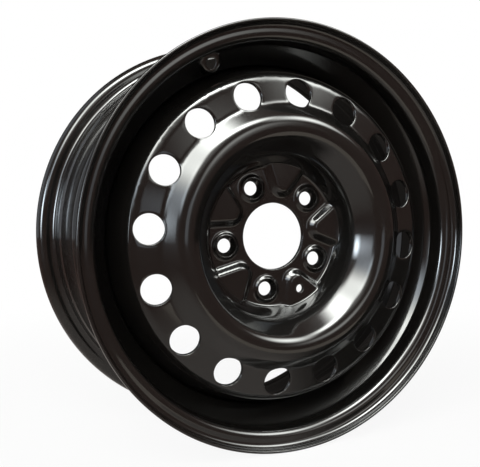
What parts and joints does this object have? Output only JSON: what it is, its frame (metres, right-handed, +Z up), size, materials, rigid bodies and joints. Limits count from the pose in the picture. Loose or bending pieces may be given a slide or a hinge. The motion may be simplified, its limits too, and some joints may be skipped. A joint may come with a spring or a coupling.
{
  "type": "steel wheel rim",
  "caption": "Black pressed-steel car wheel: a rolled drop-centre rim barrel with a welded pressed disc, round vents, raised bolt bosses and stiffening pads, and a large centre bore.",
  "frame": {"origin": "on the wheel's axis, halfway between its two lips", "axes": "+Y along the axle towards the brake side, -Y towards the outer side, +Z up as the wheel stands in the picture, +X to the right seen from the outer side"},
  "size_m": [0.4402, 0.1924, 0.44],
  "materials": {
    "rim_paint": "gloss black paint",
    "disc_paint": "gloss black paint",
    "weld_paint": "gloss black paint over weld"
  },
  "bodies": {
    "root": {"rim_barrel": "rim_paint", "wheel_disc": "disc_paint", "weld_bead_1": "weld_paint", "weld_bead_2": "weld_paint", "weld_bead_3": "weld_paint", "weld_bead_4": "weld_paint", "weld_bead_5": "weld_paint", "weld_bead_6": "weld_paint", "weld_bead_7": "weld_paint", "weld_bead_8": "weld_paint"}
  },
  "joints": []
}
